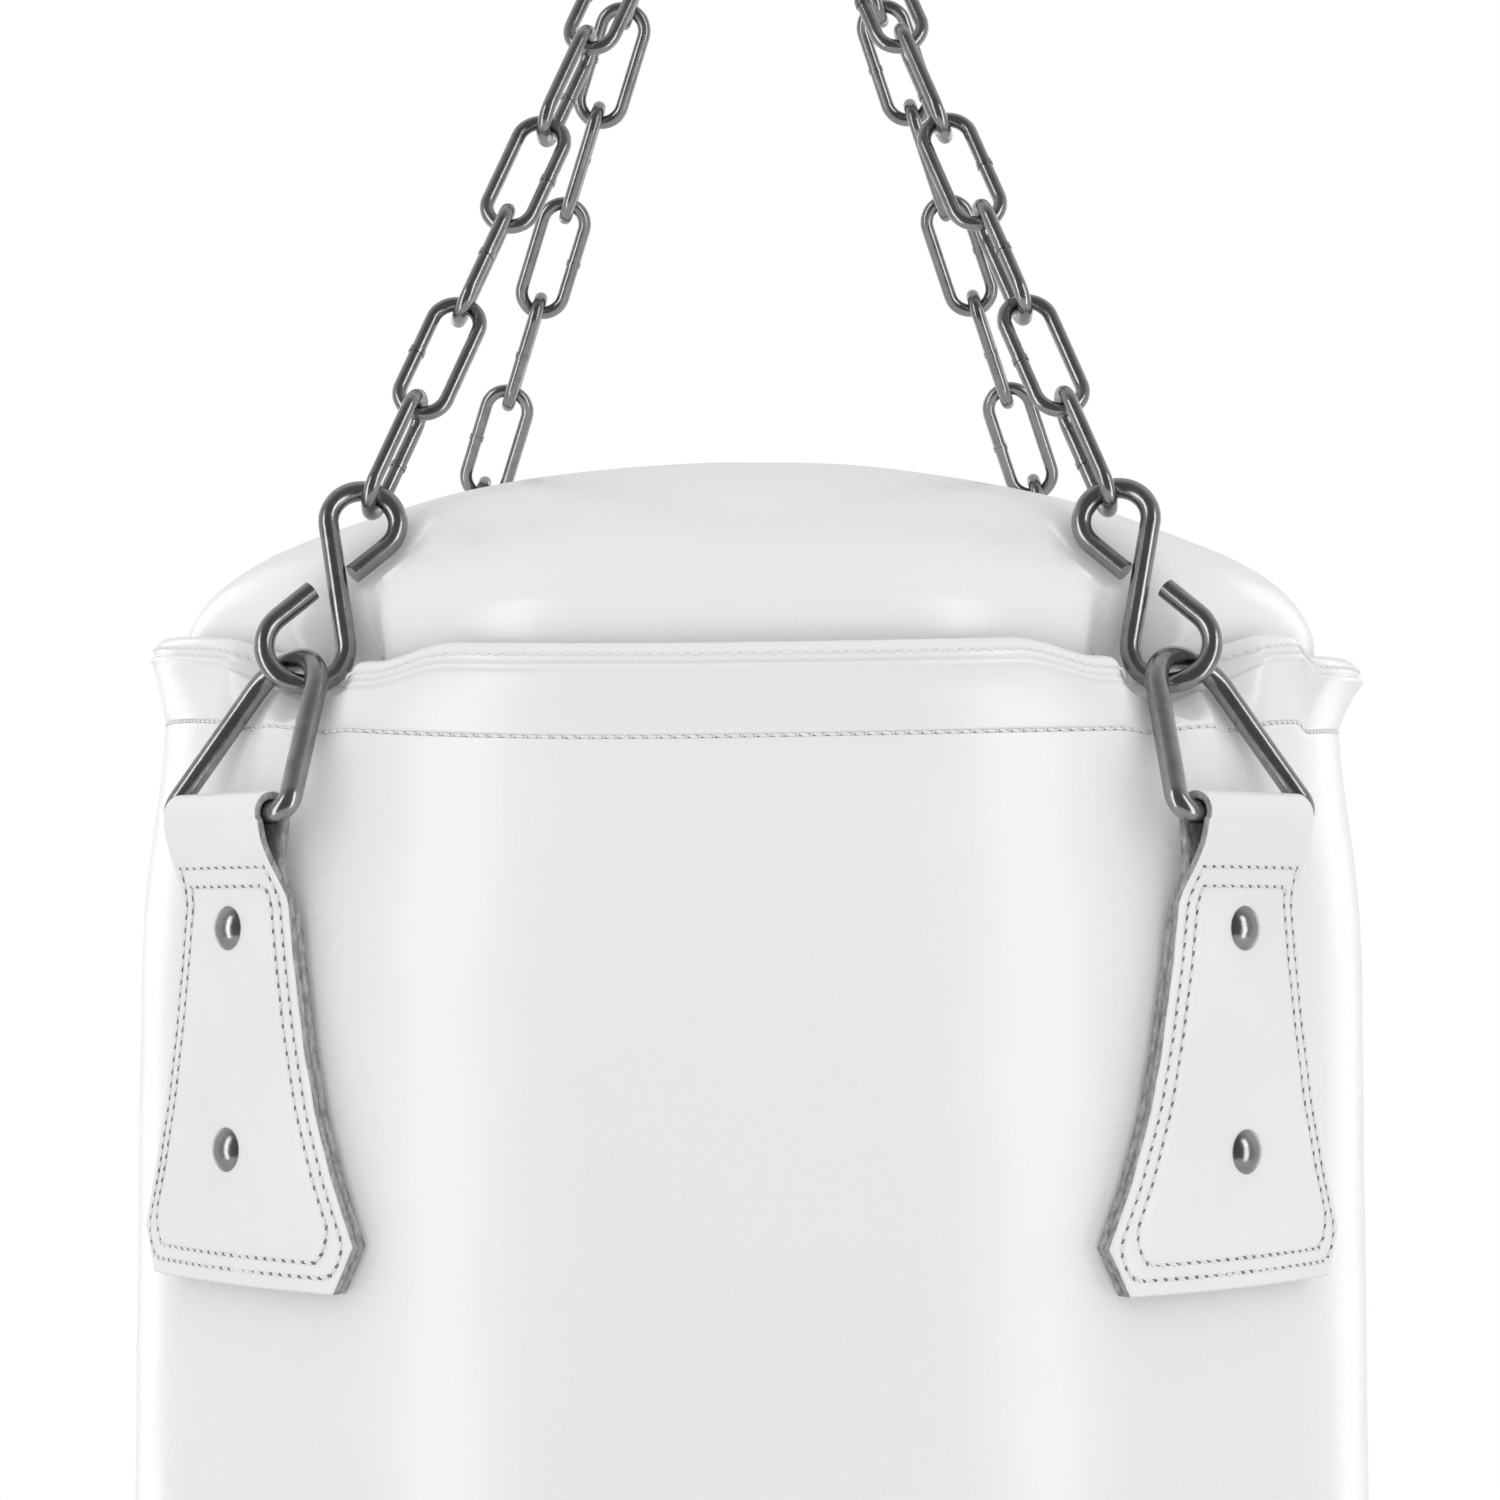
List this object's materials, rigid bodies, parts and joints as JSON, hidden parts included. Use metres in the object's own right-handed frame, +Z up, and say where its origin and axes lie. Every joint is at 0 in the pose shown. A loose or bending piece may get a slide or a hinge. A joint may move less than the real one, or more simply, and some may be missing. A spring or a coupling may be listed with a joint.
{
  "type": "hanging punching bag",
  "caption": "Filled cylindrical heavy bag that hangs from chain slings, leather straps, S-hooks, a carabiner and a swivel eye; it swings and turns when struck.",
  "frame": {"origin": "centre of the hanging eye's bore at the top of the swivel", "axes": "+Z up along the bag's axis, -Y to the front, +X to the right seen from the front; the eye's bore runs along Y"},
  "size_m": [0.3559, 0.356, 1.5466],
  "materials": {
    "white_vinyl": "gloss",
    "white_leather": "satin",
    "foam": "matte",
    "textile_filling": "matte",
    "dark_nickel": "polished"
  },
  "bodies": {
    "swivel_eye": {"swivel_eye": "dark_nickel"},
    "swivel_bow": {"swivel_bow": "dark_nickel"},
    "carabiner": {"carabiner": "dark_nickel"},
    "gate": {"carabiner_gate": "dark_nickel"},
    "bag": {"shell": "white_vinyl", "foam_liner": "foam", "filling": "textile_filling", "top_cover": "white_vinyl", "collar": "white_vinyl", "base_panel": "white_vinyl", "strap_rivets": "dark_nickel", "rivet_washers": "dark_nickel", "strap_front_left": "white_leather", "strap_front_right": "white_leather", "strap_back_left": "white_leather", "strap_back_right": "white_leather"},
    "d_ring_front_left": {"d_ring_front_left": "dark_nickel"},
    "s_hook_front_left": {"s_hook_front_left": "dark_nickel"},
    "chain_front_left_1": {"link_front_left_1": "dark_nickel", "link_front_left_2": "dark_nickel"},
    "chain_front_left_2": {"link_front_left_3": "dark_nickel", "link_front_left_4": "dark_nickel"},
    "chain_front_left_3": {"link_front_left_5": "dark_nickel", "link_front_left_6": "dark_nickel"},
    "chain_front_left_4": {"link_front_left_7": "dark_nickel", "link_front_left_8": "dark_nickel", "link_front_left_9": "dark_nickel"},
    "d_ring_front_right": {"d_ring_front_right": "dark_nickel"},
    "s_hook_front_right": {"s_hook_front_right": "dark_nickel"},
    "chain_front_right_1": {"link_front_right_1": "dark_nickel", "link_front_right_2": "dark_nickel"},
    "chain_front_right_2": {"link_front_right_3": "dark_nickel", "link_front_right_4": "dark_nickel"},
    "chain_front_right_3": {"link_front_right_5": "dark_nickel", "link_front_right_6": "dark_nickel"},
    "chain_front_right_4": {"link_front_right_7": "dark_nickel", "link_front_right_8": "dark_nickel", "link_front_right_9": "dark_nickel"},
    "d_ring_back_left": {"d_ring_back_left": "dark_nickel"},
    "s_hook_back_left": {"s_hook_back_left": "dark_nickel"},
    "chain_back_left_1": {"link_back_left_1": "dark_nickel", "link_back_left_2": "dark_nickel"},
    "chain_back_left_2": {"link_back_left_3": "dark_nickel", "link_back_left_4": "dark_nickel"},
    "chain_back_left_3": {"link_back_left_5": "dark_nickel", "link_back_left_6": "dark_nickel"},
    "chain_back_left_4": {"link_back_left_7": "dark_nickel", "link_back_left_8": "dark_nickel", "link_back_left_9": "dark_nickel"},
    "d_ring_back_right": {"d_ring_back_right": "dark_nickel"},
    "s_hook_back_right": {"s_hook_back_right": "dark_nickel"},
    "chain_back_right_1": {"link_back_right_1": "dark_nickel", "link_back_right_2": "dark_nickel"},
    "chain_back_right_2": {"link_back_right_3": "dark_nickel", "link_back_right_4": "dark_nickel"},
    "chain_back_right_3": {"link_back_right_5": "dark_nickel", "link_back_right_6": "dark_nickel"},
    "chain_back_right_4": {"link_back_right_7": "dark_nickel", "link_back_right_8": "dark_nickel", "link_back_right_9": "dark_nickel"}
  },
  "joints": [
    {"name": "swivel_spin", "type": "hinge", "parent": "swivel_eye", "child": "swivel_bow", "pos_m": [0, 0, 0], "axis": [0, 0, 1], "continuous": true},
    {"name": "side_swing", "type": "hinge", "parent": "swivel_bow", "child": "carabiner", "pos_m": [0, 0, -0.0646], "axis": [0, 1, 0], "range_deg": [-25, 25]},
    {"name": "gate_open", "type": "hinge", "parent": "carabiner", "child": "gate", "pos_m": [0.02053, 0, -0.10923], "axis": [0, -1, 0], "range_deg": [0, 25], "stiffness_Nm_per_rad": 0.3, "springref_deg": -17.19},
    {"name": "front_swing", "type": "hinge", "parent": "carabiner", "child": "bag", "pos_m": [0, 0, -0.1338], "axis": [1, 0, 0], "range_deg": [-25, 25]},
    {"name": "sling_front_left", "type": "hinge", "parent": "bag", "child": "d_ring_front_left", "pos_m": [-0.13046, -0.13046, -0.4655], "axis": [0.7071, -0.7071, 0], "range_deg": [0, 150]},
    {"name": "hook_front_left", "type": "hinge", "parent": "d_ring_front_left", "child": "s_hook_front_left", "pos_m": [-0.11567, -0.11572, -0.42734], "axis": [0.7071, -0.7071, 0], "range_deg": [0, 9]},
    {"name": "bend_front_left_1", "type": "hinge", "parent": "s_hook_front_left", "child": "chain_front_left_1", "pos_m": [-0.09806, -0.09743, -0.38096], "axis": [0.7071, -0.7071, 0], "range_deg": [0, 12]},
    {"name": "bend_front_left_2", "type": "hinge", "parent": "chain_front_left_1", "child": "chain_front_left_2", "pos_m": [-0.0769, -0.07547, -0.32525], "axis": [0.7071, -0.7071, 0], "range_deg": [0, 12]},
    {"name": "bend_front_left_3", "type": "hinge", "parent": "chain_front_left_2", "child": "chain_front_left_3", "pos_m": [-0.05575, -0.05351, -0.26954], "axis": [0.7071, -0.7071, 0], "range_deg": [0, 11.25]},
    {"name": "bend_front_left_4", "type": "hinge", "parent": "chain_front_left_3", "child": "chain_front_left_4", "pos_m": [-0.03459, -0.03155, -0.21383], "axis": [0.7071, -0.7071, 0], "range_deg": [0, 10.5]},
    {"name": "sling_front_right", "type": "hinge", "parent": "bag", "child": "d_ring_front_right", "pos_m": [0.13046, -0.13046, -0.4655], "axis": [0.7071, 0.7071, 0], "range_deg": [0, 150]},
    {"name": "hook_front_right", "type": "hinge", "parent": "d_ring_front_right", "child": "s_hook_front_right", "pos_m": [0.11567, -0.11572, -0.42734], "axis": [0.7071, 0.7071, 0], "range_deg": [0, 9]},
    {"name": "bend_front_right_1", "type": "hinge", "parent": "s_hook_front_right", "child": "chain_front_right_1", "pos_m": [0.09806, -0.09743, -0.38096], "axis": [0.7071, 0.7071, 0], "range_deg": [0, 12]},
    {"name": "bend_front_right_2", "type": "hinge", "parent": "chain_front_right_1", "child": "chain_front_right_2", "pos_m": [0.0769, -0.07547, -0.32525], "axis": [0.7071, 0.7071, 0], "range_deg": [0, 12]},
    {"name": "bend_front_right_3", "type": "hinge", "parent": "chain_front_right_2", "child": "chain_front_right_3", "pos_m": [0.05575, -0.05351, -0.26954], "axis": [0.7071, 0.7071, 0], "range_deg": [0, 11.25]},
    {"name": "bend_front_right_4", "type": "hinge", "parent": "chain_front_right_3", "child": "chain_front_right_4", "pos_m": [0.03459, -0.03155, -0.21383], "axis": [0.7071, 0.7071, 0], "range_deg": [0, 10.5]},
    {"name": "sling_back_left", "type": "hinge", "parent": "bag", "child": "d_ring_back_left", "pos_m": [-0.13046, 0.13046, -0.4655], "axis": [-0.7071, -0.7071, 0], "range_deg": [0, 150]},
    {"name": "hook_back_left", "type": "hinge", "parent": "d_ring_back_left", "child": "s_hook_back_left", "pos_m": [-0.11591, 0.11602, -0.42713], "axis": [-0.7071, -0.7071, 0], "range_deg": [0, 9]},
    {"name": "bend_back_left_1", "type": "hinge", "parent": "s_hook_back_left", "child": "chain_back_left_1", "pos_m": [-0.09914, 0.09761, -0.3806], "axis": [-0.7071, -0.7071, 0], "range_deg": [0, 12]},
    {"name": "bend_back_left_2", "type": "hinge", "parent": "chain_back_left_1", "child": "chain_back_left_2", "pos_m": [-0.07908, 0.0756, -0.32495], "axis": [-0.7071, -0.7071, 0], "range_deg": [0, 12]},
    {"name": "bend_back_left_3", "type": "hinge", "parent": "chain_back_left_2", "child": "chain_back_left_3", "pos_m": [-0.05903, 0.05359, -0.2693], "axis": [-0.7071, -0.7071, 0], "range_deg": [0, 11.25]},
    {"name": "bend_back_left_4", "type": "hinge", "parent": "chain_back_left_3", "child": "chain_back_left_4", "pos_m": [-0.03897, 0.03158, -0.21364], "axis": [-0.7071, -0.7071, 0], "range_deg": [0, 10.5]},
    {"name": "sling_back_right", "type": "hinge", "parent": "bag", "child": "d_ring_back_right", "pos_m": [0.13046, 0.13046, -0.4655], "axis": [-0.7071, 0.7071, 0], "range_deg": [0, 150]},
    {"name": "hook_back_right", "type": "hinge", "parent": "d_ring_back_right", "child": "s_hook_back_right", "pos_m": [0.11591, 0.11602, -0.42713], "axis": [-0.7071, 0.7071, 0], "range_deg": [0, 9]},
    {"name": "bend_back_right_1", "type": "hinge", "parent": "s_hook_back_right", "child": "chain_back_right_1", "pos_m": [0.09914, 0.09761, -0.3806], "axis": [-0.7071, 0.7071, 0], "range_deg": [0, 12]},
    {"name": "bend_back_right_2", "type": "hinge", "parent": "chain_back_right_1", "child": "chain_back_right_2", "pos_m": [0.07908, 0.0756, -0.32495], "axis": [-0.7071, 0.7071, 0], "range_deg": [0, 12]},
    {"name": "bend_back_right_3", "type": "hinge", "parent": "chain_back_right_2", "child": "chain_back_right_3", "pos_m": [0.05903, 0.05359, -0.2693], "axis": [-0.7071, 0.7071, 0], "range_deg": [0, 11.25]},
    {"name": "bend_back_right_4", "type": "hinge", "parent": "chain_back_right_3", "child": "chain_back_right_4", "pos_m": [0.03897, 0.03158, -0.21364], "axis": [-0.7071, 0.7071, 0], "range_deg": [0, 10.5]}
  ],
  "couplings": [
    {"joint": "hook_front_left", "follows": "sling_front_left", "ratio": 0.06},
    {"joint": "bend_front_left_1", "follows": "sling_front_left", "ratio": 0.08},
    {"joint": "bend_front_left_2", "follows": "sling_front_left", "ratio": 0.08},
    {"joint": "bend_front_left_3", "follows": "sling_front_left", "ratio": 0.075},
    {"joint": "bend_front_left_4", "follows": "sling_front_left", "ratio": 0.07},
    {"joint": "hook_front_right", "follows": "sling_front_right", "ratio": 0.06},
    {"joint": "bend_front_right_1", "follows": "sling_front_right", "ratio": 0.08},
    {"joint": "bend_front_right_2", "follows": "sling_front_right", "ratio": 0.08},
    {"joint": "bend_front_right_3", "follows": "sling_front_right", "ratio": 0.075},
    {"joint": "bend_front_right_4", "follows": "sling_front_right", "ratio": 0.07},
    {"joint": "hook_back_left", "follows": "sling_back_left", "ratio": 0.06},
    {"joint": "bend_back_left_1", "follows": "sling_back_left", "ratio": 0.08},
    {"joint": "bend_back_left_2", "follows": "sling_back_left", "ratio": 0.08},
    {"joint": "bend_back_left_3", "follows": "sling_back_left", "ratio": 0.075},
    {"joint": "bend_back_left_4", "follows": "sling_back_left", "ratio": 0.07},
    {"joint": "hook_back_right", "follows": "sling_back_right", "ratio": 0.06},
    {"joint": "bend_back_right_1", "follows": "sling_back_right", "ratio": 0.08},
    {"joint": "bend_back_right_2", "follows": "sling_back_right", "ratio": 0.08},
    {"joint": "bend_back_right_3", "follows": "sling_back_right", "ratio": 0.075},
    {"joint": "bend_back_right_4", "follows": "sling_back_right", "ratio": 0.07}
  ]
}
